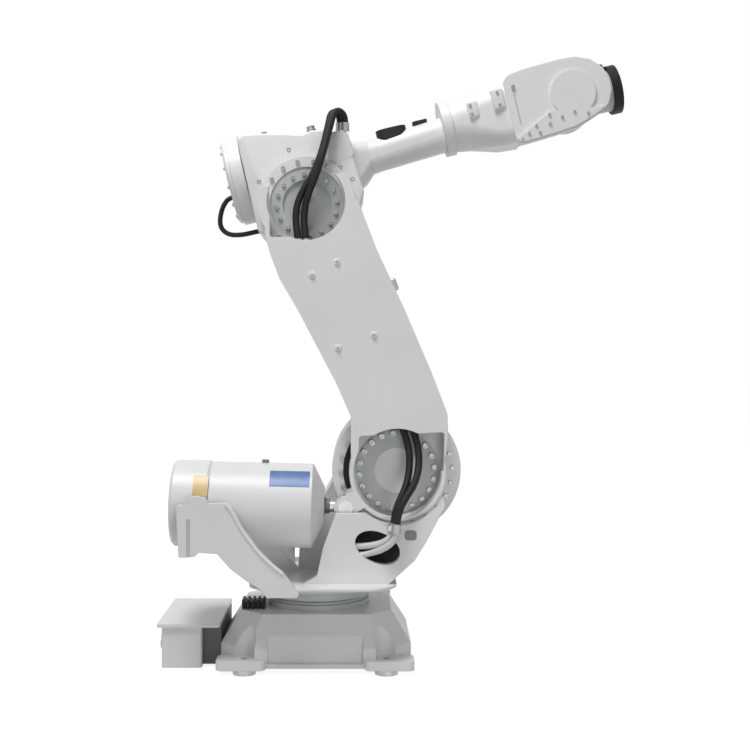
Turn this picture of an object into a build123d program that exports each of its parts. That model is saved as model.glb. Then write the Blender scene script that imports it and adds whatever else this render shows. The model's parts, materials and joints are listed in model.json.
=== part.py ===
from build123d import *
from math import atan2, cos, degrees, hypot, radians, sin, tan
import os

os.makedirs("parts", exist_ok=True)

# A floor-mounted six-axis robot arm with a spring balancer, in millimetres and degrees.
# The origin lies on the floor at axis 1, +X points forward, +Z up, and the arm hangs on the -Y side.

# Driving dimensions
shoulder_x = 320.0
shoulder_z = 780.0
arm_length = 1116.0
forearm_offset = 200.0
forearm_length = 1142.5
wrist_length = 215.0
arm_lean = 18.6
forearm_rise = 13.2

# Clearances
turn_gap = 5.0
seat_gap = 0.3
overrun = 20.0

# Shares of motors, fittings and covers
motor_flange_share = 1.33
motor_corner_share = 0.25
collar_outer_share = 0.8
collar_inner_share = 0.5

# Turns
quarter_turn = 90.0
half_turn = 180.0
full_turn = 360.0

# The arm's own layers, from the near side to the far side
arm_near = -307.0
arm_thickness = 120.0
arm_far = arm_near + arm_thickness


def side_plane(x, z, angle):
    # a plane that faces the near side, with its first direction at an angle above +X
    along = (cos(radians(angle)), 0, sin(radians(angle)))
    return Plane(origin=(x, 0, z), x_dir=along, z_dir=(0, -1, 0))


arm_angle = quarter_turn + arm_lean
elbow_x = shoulder_x + arm_length * cos(radians(arm_angle))
elbow_z = shoulder_z + arm_length * sin(radians(arm_angle))
ground_plane = side_plane(0, 0, 0)
arm_plane = side_plane(shoulder_x, shoulder_z, arm_angle)
forearm_plane = side_plane(elbow_x, elbow_z, forearm_rise)
forearm_axis = Vector(cos(radians(forearm_rise)), 0, sin(radians(forearm_rise)))


def slab(outline, plane, near, far):
    # an outline of a side plane, made solid from one layer to another
    return extrude(plane.offset(-far) * outline, amount=far - near, dir=plane.z_dir)


def disc(along, across, radius):
    return Pos(along, across) * Circle(radius)


def ring(along, across, outer, inner):
    return disc(along, across, outer) - disc(along, across, inner)


def rounded(shares, size, radius, origin=(0, 0)):
    # an outline with rounded corners, its points given as shares of one size each way
    points = [Vector(origin[0] + a * size[0], origin[1] + b * size[1]) for a, b in shares]
    curves = []
    for i, corner in enumerate(points):
        back = (points[i - 1] - corner).normalized()
        ahead = (points[(i + 1) % len(points)] - corner).normalized()
        half = radians(half_turn - back.get_angle(ahead)) / 2
        inward = (back + ahead).normalized()
        start = corner + back * radius * tan(half)
        middle = corner + inward * radius * (1 / cos(half) - 1)
        curves.append((start, middle, corner + ahead * radius * tan(half)))
    edges = []
    for before, after in zip(curves[-1:] + curves[:-1], curves):
        edges.append(Edge.make_line(before[2], after[0]))
        edges.append(Edge.make_three_point_arc(*after))
    return Sketch() + Face(Wire(edges))


def ring_of(count, radius, first_angle):
    # places evenly round a circle, as (along, across)
    step = full_turn / count
    turns = [radians(first_angle + step * i) for i in range(count)]
    return [(radius * cos(t), radius * sin(t)) for t in turns]


def on_forearm(s, t, y):
    # a point by its distance along the forearm from axis 3, above it, and across the machine
    local = forearm_plane.from_local_coords(Vector(s, t, 0))
    return Vector(local.X, y, local.Z)


def forearm_section(s, t=forearm_offset, y=0):
    # a plane across the forearm: first direction to the far side, second upwards
    return Plane(origin=on_forearm(s, t, y), x_dir=(0, 1, 0), z_dir=forearm_axis)


def save(name, shape):
    shape.label = name
    export_step(shape, "parts/" + name + ".step")


# Base: a pedestal with four feet that stand on round pads
foot_x = 276.0
foot_y = 300.0
pad_radius = 45.0
pad_height = 24.0
foot_bolt_radius = 13.0
foot_thickness = 35.0
foot_length = 192.0
foot_width = 120.0
base_half_length = 384.0
base_half_width = 360.0
body_half_length = 376.0
body_half_width = 322.0
body_corner = 110.0
body_wall_top = 98.0
body_top = 222.0
top_half_length = 300.0
top_half_width = 262.0
top_corner = 92.0
panel_half_length = 186.0
panel_depth = 22.0
panel_bottom = 40.0
panel_top = 172.0
neck_radius = 214.0
neck_height = 33.0
neck_groove = 12.0
neck_top = body_top + neck_height
foot_top = pad_height + foot_thickness


def foot_places():
    return [(x, y) for x in (-foot_x, foot_x) for y in (-foot_y, foot_y)]


def eight_sided(half_length, half_width, corner):
    outline = Rectangle(half_length * 2, half_width * 2)
    return chamfer(outline.vertices(), corner)


def floor_pads():
    pads = [Pos(x, y) * (Circle(pad_radius) - Circle(foot_bolt_radius)) for x, y in foot_places()]
    return extrude(Sketch() + pads, amount=pad_height)


def base_casting():
    wall = Pos(0, 0, pad_height) * eight_sided(body_half_length, body_half_width, body_corner)
    body = extrude(wall, amount=body_wall_top - pad_height)
    lower = Pos(0, 0, body_wall_top) * eight_sided(body_half_length, body_half_width, body_corner)
    upper = Pos(0, 0, body_top) * eight_sided(top_half_length, top_half_width, top_corner)
    body += loft([lower.face(), upper.face()], ruled=True)
    for side in (-1, 1):
        middle = side * (body_half_width - panel_depth / 2 + overrun / 2)
        depth = panel_depth + overrun
        height = panel_top - panel_bottom
        body -= Pos(0, middle, panel_bottom + height / 2) * Box(panel_half_length * 2, depth, height)
    foot = RectangleRounded(foot_length, foot_width, foot_bolt_radius * 2)
    for x, y in foot_places():
        centre_x = (base_half_length - foot_length / 2) * (1 if x > 0 else -1)
        centre_y = (base_half_width - foot_width / 2) * (1 if y > 0 else -1)
        body += extrude(Pos(centre_x, centre_y, pad_height) * foot, amount=foot_thickness)
    for x, y in foot_places():
        spot = extrude(Pos(x, y, foot_top) * Circle(pad_radius), amount=body_top)
        body -= spot
        body -= extrude(Pos(x, y, 0) * Circle(foot_bolt_radius), amount=body_top)
    return body


def neck_ring():
    inner = neck_radius - neck_groove
    lower = extrude(Pos(0, 0, body_top) * Circle(neck_radius), amount=neck_height - neck_groove)
    upper = extrude(Pos(0, 0, neck_top - neck_groove) * Circle(inner), amount=neck_groove)
    return lower + upper


# Rear cable box, with its lid, end connectors and the duct that joins it to the pedestal
box_rear = -610.0
box_front = -450.0
box_half_width = 236.0
box_bottom = 5.0
box_top = 165.0
lid_thickness = 14.0
lid_rear = -627.0
lid_front = -378.0
lid_edge = 11.0
duct_half_width = 205.0
duct_floor = 12.0
connector_radius = 34.0
connector_length = 14.0
connector_y_shares = (0.5, -0.05, -0.6)
inlet_rear = -298.0
inlet_front = -207.0
inlet_half_width = 42.5
inlet_y = -127.5
inlet_height = 36.0
inlet_body_share = 0.8
inlet_rib = 9.0
inlet_ribs = 5


def cable_box():
    size_x = box_front - box_rear
    block = Box(size_x, box_half_width * 2, box_top - box_bottom)
    block = fillet(block.edges().filter_by(Axis.Z), lid_edge)
    return Pos(box_rear + size_x / 2, 0, (box_top + box_bottom) / 2) * block


def cable_box_lid():
    size_x = lid_front - lid_rear
    plate = RectangleRounded(size_x, (box_half_width + lid_edge) * 2, lid_edge)
    return extrude(Pos(lid_rear + size_x / 2, 0, box_top) * plate, amount=lid_thickness)


def cable_duct():
    size_x = -body_half_length - box_front
    height = box_top - duct_floor
    middle = box_front + size_x / 2
    return Pos(middle, 0, duct_floor + height / 2) * Box(size_x, duct_half_width * 2, height)


def box_connectors():
    height = (box_top + box_bottom) / 2
    flange = Rectangle(connector_radius * 2, connector_radius * 2)
    flange = fillet(flange.vertices(), connector_radius * motor_corner_share)
    plane = Plane(origin=(box_rear, 0, height), x_dir=(0, -1, 0), z_dir=(-1, 0, 0))
    places = [Pos(-share * box_half_width, 0) for share in connector_y_shares]
    plates = extrude(plane * (Sketch() + [p * flange for p in places]), amount=connector_length / 2)
    collar = Circle(connector_radius * collar_outer_share) - Circle(connector_radius * collar_inner_share)
    collars = extrude(plane * (Sketch() + [p * collar for p in places]), amount=connector_length)
    return plates + collars


def cable_inlet():
    length = inlet_front - inlet_rear
    middle = (inlet_front + inlet_rear) / 2
    body_height = inlet_height * inlet_body_share
    body_width = inlet_half_width * inlet_body_share * 2
    block = Pos(middle, inlet_y, body_top + body_height / 2) * Box(length, body_width, body_height)
    pitch = (length - inlet_rib) / (inlet_ribs - 1)
    rib = Box(inlet_rib, inlet_half_width * 2, inlet_height)
    for i in range(inlet_ribs):
        block += Pos(inlet_rear + inlet_rib / 2 + pitch * i, inlet_y, body_top + inlet_height / 2) * rib
    return block


# Balancer: its rear pivot, its slope and its link to the ear of the lower arm
pivot_x = -446.0
pivot_z = 656.0
ear_reach = 245.0
ear_angle = 214.0
ear_x = shoulder_x + ear_reach * cos(radians(ear_angle))
ear_z = shoulder_z + ear_reach * sin(radians(ear_angle))
balancer_angle = degrees(atan2(ear_z - pivot_z, ear_x - pivot_x))
balancer_length = hypot(ear_x - pivot_x, ear_z - pivot_z)
balancer_plane = side_plane(pivot_x, pivot_z, balancer_angle)
balancer_y = arm_near + arm_thickness / 2
cylinder_radius = 165.0
cap_radius = 169.0
trunnion_radius = 26.0
wing_gap = 8.0

# Turning frame: a bowl on the turntable, a wall with a cable hole, two wings and a shoulder trunk
table_radius = 214.0
table_boss_radius = 180.0
table_bottom = neck_top + turn_gap
table_height = 26.0
table_top = table_bottom + table_height
bowl_floor = 348.0
bowl_rear = -255.0
bowl_front = 315.0
bowl_far = 262.0
bowl_corner = 120.0
wall_thickness = 35.0
wall_far = arm_near - turn_gap * 2
wall_near = wall_far - wall_thickness
wall_cut_radius = 196.0
wing_thickness = 25.0
pin_depth_share = 0.7
near_wing_far = balancer_y - cap_radius - wing_gap
near_wing_near = near_wing_far - wing_thickness
far_wing_near = balancer_y + cap_radius + wing_gap
far_wing_far = far_wing_near + wing_thickness
bowl_near = near_wing_near
bearing_radius = 50.0
housing_radius = 257.0
housing_near = arm_far + turn_gap
trunk_split = far_wing_far
trunk_far = 238.0
hole_x = 241.0
hole_z = 497.0
hole_half_length = 91.0
hole_half_height = 59.0
hole_tilt = -24.0


# Outlines of the frame, as shares of the shoulder's or the balancer pivot's place
wall_corner = 9.0
wall_shares = [
    (-0.3, 0.43), (0.81, 0.43), (0.93, 0.473), (1.2, 0.573), (1.35, 0.672),
    (1.57, 0.846), (1.45, 1.01), (0.64, 1.01), (0.64, 0.805), (0.25, 0.805),
    (0.094, 0.632), (0.023, 0.496), (-0.18, 0.447),
]
wing_shares = [
    (0.125, 0.52), (0.266, 0.64), (0.352, 0.686), (0.473, 0.769), (0.608, 0.896),
    (0.696, 1.016), (0.74, 1.039), (1.166, 1.024), (1.146, 0.723), (1.013, 0.729),
    (0.971, 0.752), (0.819, 0.746), (0.713, 0.663), (0.574, 0.591), (0.456, 0.545),
    (0.4, 0.493), (0.145, 0.493),
]
trunk_near_shares = [
    (0.25, 0.42), (0.25, 0.9), (0.7, 1.1), (1.6, 0.95), (1.37, 0.655), (1.21, 0.554),
    (0.94, 0.453), (0.8, 0.42),
]
trunk_far_shares = [
    (-0.25, 0.42), (-0.22, 0.62), (0.3, 1.0), (0.7, 1.1), (1.6, 0.95), (1.37, 0.655),
    (1.21, 0.554), (0.94, 0.453), (0.8, 0.42),
]
shoulder_size = (shoulder_x, shoulder_z)
pivot_size = (pivot_x, pivot_z)


def cable_hole():
    return Pos(hole_x, hole_z) * Rot(0, 0, hole_tilt) * Ellipse(hole_half_length, hole_half_height)


def frame_bowl():
    size_x = bowl_front - bowl_rear
    size_y = bowl_far - bowl_near
    centre = Pos((bowl_front + bowl_rear) / 2, (bowl_far + bowl_near) / 2, bowl_floor)
    rim = centre * RectangleRounded(size_x, size_y, bowl_corner)
    foot = Pos(0, 0, table_top) * Circle(table_radius)
    bowl = loft([foot.face(), rim.face()])
    return bowl + extrude(rim, amount=wall_corner)


def near_wall():
    outline = rounded(wall_shares, shoulder_size, wall_corner)
    outline -= disc(shoulder_x, shoulder_z, wall_cut_radius)
    outline -= cable_hole()
    return slab(outline, ground_plane, wall_near, wall_far)


def wings():
    outline = rounded(wing_shares, pivot_size, wall_corner) + disc(pivot_x, pivot_z, bearing_radius)
    near = slab(outline, ground_plane, near_wing_near, near_wing_far)
    far = slab(outline, ground_plane, far_wing_near, far_wing_far)
    pin_hole = disc(pivot_x, pivot_z, trunnion_radius + seat_gap)
    depth = wing_thickness * pin_depth_share
    bore = slab(pin_hole, ground_plane, near_wing_far - depth, far_wing_near + depth)
    return near - bore, far - bore


def trunk():
    near = rounded(trunk_near_shares, shoulder_size, wall_corner)
    far = rounded(trunk_far_shares, shoulder_size, wall_corner)
    body = slab(near, ground_plane, housing_near + wing_thickness, trunk_split)
    return body + slab(far, ground_plane, trunk_split, trunk_far)


def frame_casting():
    near_wing, far_wing = wings()
    body = frame_bowl() + near_wall() + near_wing + far_wing + trunk()
    return body - housing_space()


def turntable():
    boss = extrude(Pos(0, 0, neck_top + seat_gap) * Circle(table_boss_radius), amount=turn_gap - seat_gap)
    return boss + extrude(Pos(0, 0, table_bottom) * Circle(table_radius), amount=table_height)


# Shoulder gear housing, the motors of axes 1 and 2, the stop post and the hose clamp
housing_face = 36.0
bearing_bore = 147.0
shoulder_motor_radius = 92.0
shoulder_motor_length = 230.0
turn_motor_x = -178.0
turn_motor_y = 146.0
turn_motor_radius = 78.0
turn_motor_height = 300.0
post_x = 276.0
post_y = -60.0
post_width = 46.0
post_bottom = body_top + inlet_height + turn_gap
motor_cap = 40.0


def housing_space():
    return slab(disc(shoulder_x, shoulder_z, housing_radius), ground_plane, housing_near, trunk_far)


def shoulder_housing():
    rim = disc(shoulder_x, shoulder_z, housing_radius)
    body = slab(rim, ground_plane, housing_near, trunk_far)
    bore = disc(shoulder_x, shoulder_z, bearing_bore)
    return body - slab(bore, ground_plane, housing_near, housing_near + housing_face)


def motor_end(radius):
    # the square end of a motor, as wide as its barrel
    return RectangleRounded(radius * 2, radius * 2, radius * motor_corner_share)


def shoulder_motor():
    far = trunk_far + shoulder_motor_length
    flange = disc(shoulder_x, shoulder_z, shoulder_motor_radius * motor_flange_share)
    barrel = disc(shoulder_x, shoulder_z, shoulder_motor_radius)
    body = slab(flange, ground_plane, trunk_far, trunk_far + motor_cap)
    body += slab(barrel, ground_plane, trunk_far + motor_cap, far - motor_cap)
    end = Pos(shoulder_x, shoulder_z) * motor_end(shoulder_motor_radius)
    return body + slab(end, ground_plane, far - motor_cap, far)


def turn_motor():
    start = Pos(turn_motor_x, turn_motor_y, bowl_floor + wall_corner)
    body = extrude(start * Circle(turn_motor_radius), amount=turn_motor_height - motor_cap)
    top = Pos(turn_motor_x, turn_motor_y, bowl_floor + wall_corner + turn_motor_height - motor_cap)
    return body + extrude(top * motor_end(turn_motor_radius), amount=motor_cap)


def stop_post():
    height = table_top + table_height - post_bottom
    post = Pos(post_x, post_y, post_bottom + height / 2) * Box(post_width, post_width, height)
    return post - frame_bowl()


# Balancer cylinder, held by its trunnions between the wings, with its rod towards the ear
cylinder_rear = -110.0
cylinder_front = 434.0
rear_cap_length = 150.0
front_cone_length = 46.0
collar_radius = 76.0
rod_radius = 24.0
eye_radius = 45.0
eye_width = 60.0
eye_bore = 23.0
ear_slot = 74.0
cap_step = 10.0
pin_root_share = 0.8
valve_radius = 14.0
valve_height = 12.0
valve_place = 245.0
balancer_axis = Vector(cos(radians(balancer_angle)), 0, sin(radians(balancer_angle)))


def balancer_section(along):
    # a plane across the cylinder: first direction to the far side, second upwards
    start = balancer_plane.from_local_coords(Vector(along, 0, 0))
    return Plane(origin=(start.X, balancer_y, start.Z), x_dir=(0, 1, 0), z_dir=balancer_axis)


def balancer_cylinder():
    start = cylinder_rear + rear_cap_length
    return extrude(balancer_section(start) * Circle(cylinder_radius), amount=cylinder_front - start)


def balancer_rear_cap():
    body = extrude(balancer_section(cylinder_rear) * Circle(cap_radius), amount=rear_cap_length)
    body = chamfer(body.edges().filter_by(GeomType.CIRCLE), cap_step)
    length = wing_thickness * pin_depth_share - seat_gap
    pin = disc(pivot_x, pivot_z, trunnion_radius)
    inner = cap_radius * pin_root_share
    near = slab(pin, ground_plane, near_wing_far - length, balancer_y - inner)
    far = slab(pin, ground_plane, balancer_y + inner, far_wing_near + length)
    return body + near + far


def balancer_front_cap():
    lower = balancer_section(cylinder_front) * Circle(cylinder_radius)
    upper = balancer_section(cylinder_front + front_cone_length) * Circle(collar_radius)
    return loft([lower.face(), upper.face()])


def balancer_rod():
    start = cylinder_front + front_cone_length
    body = extrude(balancer_section(start) * Circle(rod_radius), amount=balancer_length - start)
    near = balancer_y - eye_width / 2
    far = near + eye_width
    body += slab(disc(balancer_length, 0, eye_radius), balancer_plane, near, far)
    return body - slab(disc(balancer_length, 0, eye_bore), balancer_plane, near - overrun, far + overrun)


def balancer_valve():
    start = balancer_plane.from_local_coords(Vector(valve_place, cylinder_radius, 0))
    up = Vector(-balancer_axis.Z, 0, balancer_axis.X)
    plane = Plane(origin=(start.X, balancer_y, start.Z), x_dir=(0, 1, 0), z_dir=up)
    body = extrude(plane.offset(-valve_height) * Circle(valve_radius), amount=valve_height * 2)
    return body - balancer_cylinder()


# Lower arm: a hollow casting with a window at each end, a web bolted to each gear and an ear
ring_radius = 188.0
head_radius = 191.0
arm_half_width = 196.0
arm_corner = 60.0
arm_skin = 16.0
arm_wall = 26.0
web_thickness = 22.0
web_near = arm_far - web_thickness
arm_shares = [
    (-0.02, -0.94), (0.06, -1.17), (0.14, -1.31), (0.3, -1.27), (0.53, -1.165), (0.76, -1.02),
    (0.98, -0.97), (0.98, 0.97), (0.87, 1.01), (0.77, 0.99), (0.65, 0.845), (0.49, 0.7),
    (0.37, 0.59), (0.24, 0.52), (0.12, 0.75), (0.0, 0.94),
]
low_window_radius = 172.0
low_window_corner = 12.0
low_window_shares = [(-0.875, 0.0), (-0.875, 0.83), (1.06, 0.92), (1.04, 0.0)]
high_window_radius = 153.0
high_window_shares = [(-0.74, 0.38), (-0.74, -0.74), (-0.1, -0.74), (-0.1, 0.38)]
head_cut_shares = [(-1.5, 0.19), (1.5, 0.68), (1.5, 2.0), (-1.5, 2.0)]
shoulder_boss_radius = bearing_bore - seat_gap
shoulder_boss_length = 30.0
hub_radius = 147.0
ear_plate = (arm_thickness - ear_slot) / 2
ear_radius = 40.0
ear_root_share = 0.6
ear_slot_radius = 155.0
ear_slot_reach = (ring_radius + ear_reach) * 2
ear_slot_turns = (58.0, 100.0, 135.0, 168.0)
pin_head_share = 1.3
pin_head_height = 4.5
ear_turn = ear_angle - arm_angle
flange_radius = 165.0
flange_thickness = 8.0
flange_bore = 90.0


def arm_outline():
    outline = rounded(arm_shares, (arm_length, arm_half_width), arm_corner)
    return outline + disc(0, 0, ring_radius) + disc(arm_length, 0, head_radius)


def low_window():
    size = (low_window_radius, low_window_radius)
    flat = rounded(low_window_shares, size, low_window_corner, (shoulder_x, shoulder_z))
    return flat + disc(shoulder_x, shoulder_z, low_window_radius)


def high_window():
    size = (head_radius, head_radius)
    corner = rounded(high_window_shares, size, low_window_corner, (elbow_x, elbow_z))
    return corner + disc(elbow_x, elbow_z, high_window_radius)


def ear_slot_space():
    rim = [(ear_slot_reach * cos(radians(t)), ear_slot_reach * sin(radians(t))) for t in ear_slot_turns]
    wedge = make_face(Polyline((0, 0), *rim, close=True)) - disc(0, 0, ear_slot_radius)
    return slab(wedge, arm_plane, arm_near + ear_plate, arm_far - ear_plate)


def ear():
    link_length = ear_reach * (1 - ear_root_share)
    link = Pos(ear_reach - link_length / 2, 0) * Rectangle(link_length, ear_radius * 2)
    outline = Rot(0, 0, ear_turn) * (link + disc(ear_reach, 0, ear_radius) - disc(ear_reach, 0, eye_bore))
    outline = outline - disc(0, 0, low_window_radius)
    near = slab(outline, arm_plane, arm_near, arm_near + ear_plate)
    return near + slab(outline, arm_plane, arm_far - ear_plate, arm_far)


def lower_arm():
    outline = arm_outline()
    body = slab(outline, arm_plane, arm_near, arm_far)
    body -= slab(offset(outline, amount=-arm_wall), arm_plane, arm_near + arm_skin, web_near)
    body -= slab(low_window(), ground_plane, arm_near - overrun, web_near)
    body -= slab(high_window(), ground_plane, arm_near - overrun, web_near)
    head_cut = rounded(head_cut_shares, (head_radius, head_radius), arm_corner, (elbow_x, elbow_z))
    body -= slab(head_cut, ground_plane, arm_near - overrun, web_near)
    body -= ear_slot_space()
    body += ear()
    body += slab(disc(0, 0, shoulder_boss_radius), arm_plane, arm_far, arm_far + shoulder_boss_length)
    return body - slab(disc(arm_length, 0, hub_radius), arm_plane, web_near - overrun, arm_far + overrun)


def shoulder_flange():
    outline = ring(0, 0, flange_radius, flange_bore)
    return slab(outline, arm_plane, web_near - flange_thickness, web_near)


def ear_pin():
    head = Rot(0, 0, ear_turn) * disc(ear_reach, 0, eye_bore * pin_head_share)
    return slab(head, arm_plane, arm_near - pin_head_height, arm_near)


# Upper arm: an elbow casting with a rear drum, a tube to the wrist and the motor of axis 3
elbow_near = arm_far + turn_gap
elbow_far = 140.0
elbow_corner = 22.0
elbow_round = 186.0
elbow_rear_share = -1.075
elbow_shares = [
    (elbow_rear_share, -0.32), (elbow_rear_share, 1.36), (-0.6, 1.27), (-0.29, 1.3), (0.06, 1.38),
    (0.42, 1.45), (0.62, 1.4), (0.85, 1.24), (1.1, 1.05), (1.15, 0.25), (1.17, 0.0), (1.0, -0.3),
    (0.7, -0.6), (-0.6, -0.6),
]
tower_place = 178.0
tower_half_length = 54.0
tower_top = 262.0
tower_bottom = 150.0
tower_thickness = 110.0
drum_radius = -elbow_near
drum_lift = 185.0
drum_gap = 3.0
drum_length = 50.0
drum_cap = 21.0
drum_step = 9.0
drum_neck_share = 0.48
drum_front = forearm_offset * elbow_rear_share - drum_gap
drum_rear = drum_front - drum_length
hub_inner = 96.0
hub_depth = 18.0
hub_face = arm_far - hub_depth
hub_ring_share = 0.4
elbow_motor_radius = 86.0
elbow_motor_length = 210.0
tube_root = 220.0
wrist_body_length = 530.5
tube_end = forearm_length - wrist_body_length
tube_centre = 177.0
tube_height = 142.0
tube_width = 150.0
tube_corner = 66.0
tube_shares = [
    (0.0, 0.757, 1.437, 1.173, 0.606), (0.11, 0.791, 1.24, 1.12, 0.85), (0.2, 0.876, 0.986, 0.933, 0.9),
    (0.3, 0.893, 0.958, 0.88, 0.9), (1.0, 1.0, 1.0, 1.0, 1.0),
]


def elbow_casting():
    outline = rounded(elbow_shares, (forearm_offset, forearm_offset), elbow_corner) + disc(0, 0, elbow_round)
    body = slab(outline, forearm_plane, elbow_near, elbow_far)
    tower = Pos(tower_place, (tower_top + tower_bottom) / 2) * RectangleRounded(
        tower_half_length * 2, tower_top - tower_bottom, elbow_corner
    )
    return body + slab(tower, forearm_plane, elbow_near, elbow_near + tower_thickness)


def elbow_hub():
    body = slab(disc(0, 0, hub_radius - seat_gap), forearm_plane, hub_face, elbow_near)
    groove = ring(0, 0, hub_inner, hub_inner * hub_ring_share)
    return body - slab(groove, forearm_plane, hub_face, hub_face + drum_step)


def rear_drum():
    start = forearm_section(drum_rear, drum_lift)
    body = extrude(start * Circle(drum_radius), amount=drum_front - drum_rear)
    cover = extrude(start * Circle(drum_radius - drum_step), amount=-drum_cap)
    cover = chamfer(cover.edges().filter_by(GeomType.CIRCLE).sort_by(Axis.X)[0], drum_step)
    neck = forearm_section(drum_front, drum_lift)
    body += extrude(neck * Circle(drum_radius * drum_neck_share), amount=drum_gap)
    return body + cover


def elbow_motor():
    far = elbow_far + elbow_motor_length
    flange = disc(0, 0, elbow_motor_radius * motor_flange_share)
    body = slab(flange, forearm_plane, elbow_far, elbow_far + motor_cap)
    body += slab(disc(0, 0, elbow_motor_radius), forearm_plane, elbow_far + motor_cap, far - motor_cap)
    return body + slab(motor_end(elbow_motor_radius), forearm_plane, far - motor_cap, far)


def forearm_tube():
    faces = []
    for share, centre, height, width, corner in tube_shares:
        section = forearm_section(tube_root + (tube_end - tube_root) * share, tube_centre * centre)
        outline = RectangleRounded(tube_width * width, tube_height * height, tube_corner * corner)
        faces.append((section * outline).face())
    return loft(faces, ruled=True) - elbow_casting()


# Wrist: a flange that turns on the tube, a gear housing and a fork that holds the tilting head
flange_length = 38.0
wrist_flange_radius = 114.0
wrist_start = tube_end + seat_gap
housing_start = wrist_start + flange_length
fork_length = 229.0
fork_start = forearm_length - fork_length
fork_inner = 108.0
fork_outer = 150.0
cheek_radius = 165.0
cheek_corner = 34.0
cheek_top_shares = [
    (-1.6, 0.69), (-1.39, 0.79), (-0.97, 0.84), (-0.17, 0.87), (0.23, 0.85), (0.6, 0.7),
    (0.86, 0.42), (0.94, 0.1), (0.93, -0.15),
]
near_cheek_shares = cheek_top_shares + [
    (0.8, -0.44), (0.6, -0.6), (0.3, -0.72), (-0.1, -0.85), (-0.55, -0.89), (-1.0, -0.92), (-1.6, -0.95),
]
far_cheek_shares = cheek_top_shares + [
    (0.8, -0.42), (0.5, -0.55), (0.06, -0.6), (-0.55, -0.64), (-1.0, -0.7), (-1.6, -0.75),
]
wrist_height = 264.0
wrist_corner = 60.0
wrist_shares = [
    (0.0, 0.0, 0.78, 0.687, 1.7), (0.25, 0.0, 0.841, 0.72, 1.6), (0.7, -0.06, 0.894, 0.88, 1.0),
    (1.0, -0.015, 1.0, 1.0, 1.0),
]
cover_radius = 92.0
cover_thickness = 8.0
cover_margin = 6.0
low_cover_shares = [
    (-1.6, -0.8), (-0.995, -0.487), (-0.653, -0.31), (0.267, -0.434), (0.705, -0.5), (0.705, -0.95),
    (-1.6, -0.95),
]


def wrist_flange():
    body = extrude(forearm_section(wrist_start) * Circle(wrist_flange_radius), amount=flange_length)
    return body


def wrist_housing():
    faces = []
    for share, centre, height, width, corner in wrist_shares:
        s = housing_start + (fork_start - housing_start) * share
        section = forearm_section(s, forearm_offset + wrist_height * centre)
        outline = RectangleRounded(fork_outer * 2 * width, wrist_height * height, wrist_corner * corner)
        faces.append((section * outline).face())
    return loft(faces, ruled=True)


def wrist_outline(shares, corner):
    # an outline round axis 5, its points given as shares of the cheek's radius
    return rounded(shares, (cheek_radius, cheek_radius), corner, (forearm_length, forearm_offset))


def near_cheek():
    outline = wrist_outline(near_cheek_shares, cheek_corner)
    return slab(outline, forearm_plane, -fork_outer, -fork_inner) - wrist_housing()


def far_cheek():
    outline = wrist_outline(far_cheek_shares, cheek_corner)
    return slab(outline, forearm_plane, fork_inner, fork_outer) - wrist_housing()


def cheek_covers():
    round_cover = disc(forearm_length, forearm_offset, cover_radius)
    inside = offset(wrist_outline(near_cheek_shares, cheek_corner), amount=-cover_margin)
    low_cover = wrist_outline(low_cover_shares, cover_thickness) & inside
    near = slab(round_cover + low_cover, forearm_plane, -fork_outer - cover_thickness, -fork_outer)
    far = slab(round_cover, forearm_plane, fork_outer, fork_outer + cover_thickness)
    return Part() + [near, far]


# Tilting head between the cheeks, and the tool disc on it
head_half_width = fork_inner - turn_gap
tilt_radius = 120.0
tilt_boss_radius = 62.0
neck_tilt_radius = 84.0
disc_radius = 100.0
disc_thickness = 36.0
tool_circle = 80.0
tool_holes = 12
tool_hole_radius = 5.1
tool_hole_depth = 20.0
pilot_radius = 50.0
pilot_depth = 8.0
tool_s = forearm_length + wrist_length


def tilt_housing():
    centre = disc(forearm_length, forearm_offset, tilt_radius)
    body = slab(centre, forearm_plane, -head_half_width, head_half_width)
    boss = disc(forearm_length, forearm_offset, tilt_boss_radius)
    reach = fork_inner - seat_gap
    body += slab(boss, forearm_plane, -reach, reach)
    start = forearm_section(forearm_length + tilt_radius / 2)
    length = wrist_length - tilt_radius / 2 - disc_thickness - seat_gap
    return body + extrude(start * Circle(neck_tilt_radius), amount=length)


def turning_disc():
    start = forearm_section(tool_s - disc_thickness)
    face = forearm_section(tool_s)
    body = extrude(start * Circle(disc_radius), amount=disc_thickness)
    holes = [Pos(x, y) * Circle(tool_hole_radius) for x, y in ring_of(tool_holes, tool_circle, 0)]
    body -= extrude(face * (Sketch() + holes), amount=-tool_hole_depth)
    return body - extrude(face * Circle(pilot_radius), amount=-pilot_depth)


# Hoses across axes 2 and 3: routes through chosen points, tight arcs only at the fold on the tower
low_hose_radius = 14.0
high_hose_radius = 14.0
low_hose_routes = [
    [
        (-17, -377, -183), (-13, -380, -146), (4, -369, -101), (32, -336, -48), (47, -300, 19),
        (47, -276, 87), (28, -266, 156), (-2, -262, 225), (-29, -262, 293),
    ],
    [
        (-7, -402, -183), (-2, -407, -140), (24, -394, -91), (61, -358, -42), (83, -310, 19),
        (83, -280, 89), (65, -268, 162), (37, -262, 232), (10, -262, 301),
    ],
]
high_hose_routes = [
    [
        (-32, -257, -147), (-44, -245, -79), (-40, -239, -10), (-14, -236, 54),
        (25, -236, 112), (50, -236, 176), (68, -216, 240), (80, -203, 296), (87, -191, 330),
        (92, -179, 357), (103, -166, 374), (120, -149, 374), (131, -136, 357), (131, -136, 335),
    ],
    [
        (-2, -258, -147), (-12, -244, -79), (-7, -242, -10), (12, -254, 49),
        (39, -268, 109), (60, -268, 176), (76, -249, 240), (89, -234, 294), (97, -225, 325),
        (103, -216, 352), (117, -201, 372), (136, -181, 372), (150, -166, 352), (150, -166, 330),
    ],
]
arc_share = 0.45
ferrule_radius = 18.0
ferrule_length = 36.0


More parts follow.
